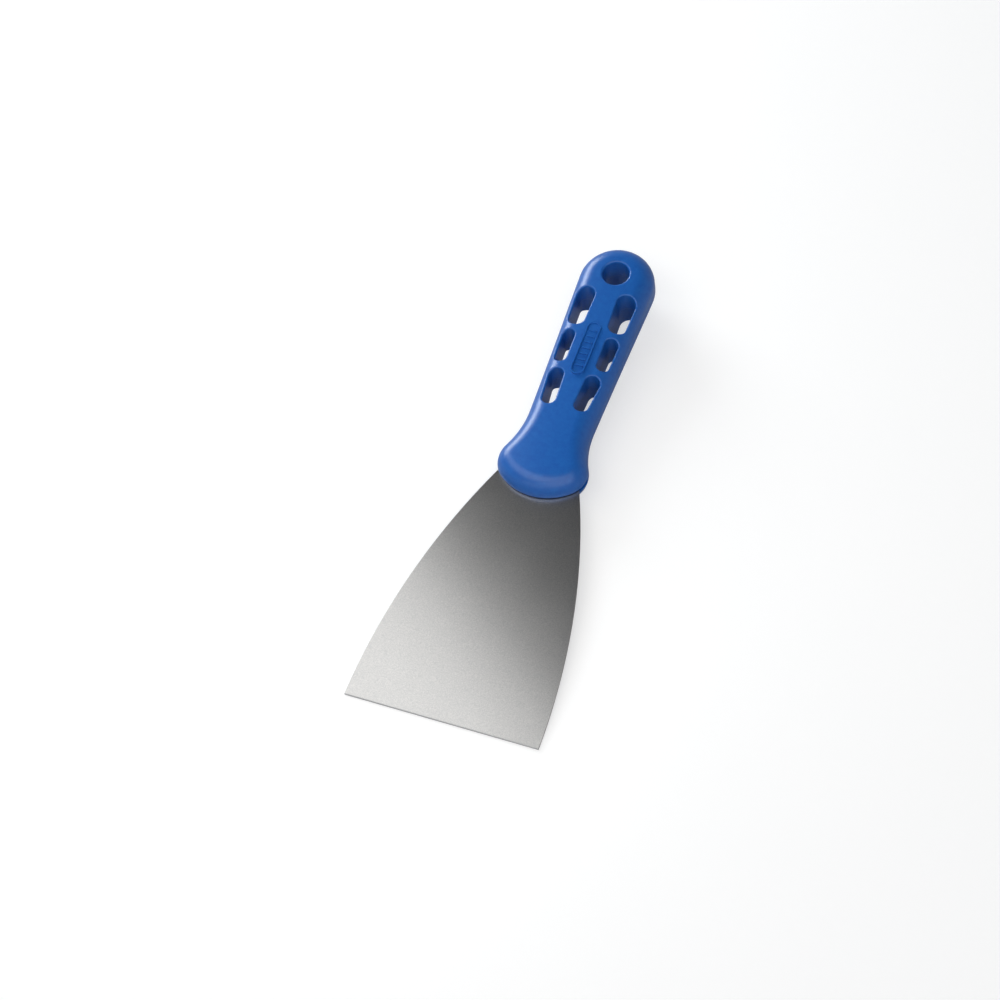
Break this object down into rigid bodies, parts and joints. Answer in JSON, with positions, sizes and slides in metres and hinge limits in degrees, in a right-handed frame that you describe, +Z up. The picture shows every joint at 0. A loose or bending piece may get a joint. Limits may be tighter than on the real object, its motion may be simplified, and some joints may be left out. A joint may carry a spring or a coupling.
{
  "type": "taping knife",
  "caption": "Taping knife for drywall: a flared satin steel blade with a straight working edge, moulded into a windowed plastic handle with a hanging hole.",
  "frame": {"origin": "on the bench, under the middle of the knife's bounding box, with the knife lying front face up on its working edge and the underside of the handle's bulge", "axes": "+Y from the working edge to the butt of the handle, +X to the right along the working edge seen from above, +Z up"},
  "size_m": [0.08, 0.224, 0.0263],
  "materials": {
    "satin_steel": "fine satin, lightly speckled",
    "blue_plastic": "fine spark-eroded texture, soft sheen"
  },
  "bodies": {
    "root": {"blade": "satin_steel", "handle": "blue_plastic"}
  },
  "joints": []
}
